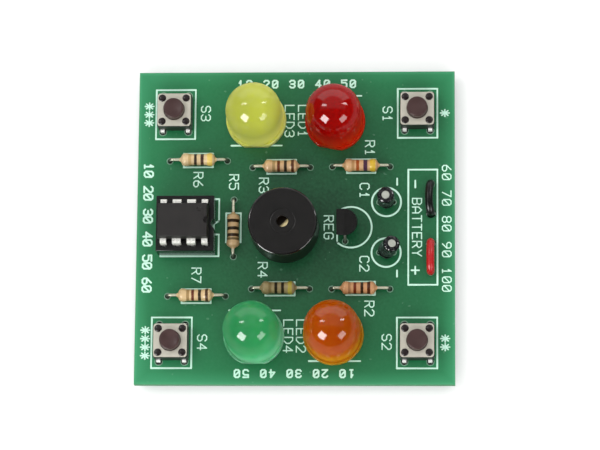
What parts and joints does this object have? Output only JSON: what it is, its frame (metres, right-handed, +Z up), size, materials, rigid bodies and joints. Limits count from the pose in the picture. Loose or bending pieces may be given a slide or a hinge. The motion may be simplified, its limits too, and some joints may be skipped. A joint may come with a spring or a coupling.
{
  "type": "mole pounding game",
  "caption": "Handheld reaction game on a square green circuit board, with corner push buttons beside coloured lamps, a socketed chip, a buzzer and battery leads.",
  "frame": {"origin": "centre of the board in plan, at the level of the trimmed wire ends that it stands on", "axes": "+X to the right, towards the battery leads; +Y towards the yellow and red lamps; +Z up, out of the component side"},
  "size_m": [0.0558, 0.0558, 0.0167],
  "materials": {
    "board_mask": "gloss",
    "lamp_red": "gloss",
    "lamp_orange": "gloss",
    "lamp_yellow": "gloss",
    "lamp_green": "gloss",
    "tinned_frame": "satin",
    "resistor_lacquer": "gloss",
    "tinned_wire": "satin",
    "switch_black": "matte",
    "cover_steel": "satin",
    "plunger_brown": "matte",
    "spring_steel": "gloss",
    "chip_epoxy": "matte",
    "socket_nylon": "satin",
    "buzzer_plastic": "satin",
    "buzzer_laminate": "matte",
    "yoke_steel": "satin",
    "magnet_ferrite": "matte",
    "coil_copper": "satin",
    "diaphragm_brass": "satin",
    "regulator_epoxy": "satin",
    "capacitor_can": "gloss",
    "capacitor_rubber": "matte",
    "lead_black": "satin",
    "lead_red": "satin"
  },
  "bodies": {
    "game": {"circuit_board": "board_mask", "lamp_1_lens": "lamp_red", "lamp_1_cathode": "tinned_frame", "lamp_1_anode": "tinned_frame", "lamp_2_lens": "lamp_orange", "lamp_2_cathode": "tinned_frame", "lamp_2_anode": "tinned_frame", "lamp_3_lens": "lamp_yellow", "lamp_3_cathode": "tinned_frame", "lamp_3_anode": "tinned_frame", "lamp_4_lens": "lamp_green", "lamp_4_cathode": "tinned_frame", "lamp_4_anode": "tinned_frame", "resistor_1_coating": "resistor_lacquer", "resistor_1_core": "tinned_wire", "resistor_2_coating": "resistor_lacquer", "resistor_2_core": "tinned_wire", "resistor_3_coating": "resistor_lacquer", "resistor_3_core": "tinned_wire", "resistor_4_coating": "resistor_lacquer", "resistor_4_core": "tinned_wire", "resistor_5_coating": "resistor_lacquer", "resistor_5_core": "tinned_wire", "resistor_6_coating": "resistor_lacquer", "resistor_6_core": "tinned_wire", "resistor_7_coating": "resistor_lacquer", "resistor_7_core": "tinned_wire", "button_1_base": "switch_black", "button_1_cover": "cover_steel", "button_1_dome": "spring_steel", "button_2_base": "switch_black", "button_2_cover": "cover_steel", "button_2_dome": "spring_steel", "button_3_base": "switch_black", "button_3_cover": "cover_steel", "button_3_dome": "spring_steel", "button_4_base": "switch_black", "button_4_cover": "cover_steel", "button_4_dome": "spring_steel", "chip": "chip_epoxy", "chip_socket": "socket_nylon", "buzzer_case": "buzzer_plastic", "buzzer_base": "buzzer_laminate", "buzzer_yoke": "yoke_steel", "buzzer_magnet": "magnet_ferrite", "buzzer_coil": "coil_copper", "buzzer_diaphragm": "diaphragm_brass", "regulator": "regulator_epoxy", "capacitor_1_can": "capacitor_can", "capacitor_1_core": "capacitor_rubber", "capacitor_2_can": "capacitor_can", "capacitor_2_core": "capacitor_rubber", "battery_lead_black": "lead_black", "battery_lead_red": "lead_red"},
    "button_1_key": {"button_1_plunger": "plunger_brown"},
    "button_2_key": {"button_2_plunger": "plunger_brown"},
    "button_3_key": {"button_3_plunger": "plunger_brown"},
    "button_4_key": {"button_4_plunger": "plunger_brown"}
  },
  "joints": [
    {"name": "button_1_press", "type": "slide", "parent": "game", "child": "button_1_key", "axis": [0, 0, -1], "range_m": [0, 0.00025], "stiffness_N_per_m": 6400, "deforming": ["button_1_dome"]},
    {"name": "button_2_press", "type": "slide", "parent": "game", "child": "button_2_key", "axis": [0, 0, -1], "range_m": [0, 0.00025], "stiffness_N_per_m": 6400, "deforming": ["button_2_dome"]},
    {"name": "button_3_press", "type": "slide", "parent": "game", "child": "button_3_key", "axis": [0, 0, -1], "range_m": [0, 0.00025], "stiffness_N_per_m": 6400, "deforming": ["button_3_dome"]},
    {"name": "button_4_press", "type": "slide", "parent": "game", "child": "button_4_key", "axis": [0, 0, -1], "range_m": [0, 0.00025], "stiffness_N_per_m": 6400, "deforming": ["button_4_dome"]}
  ]
}
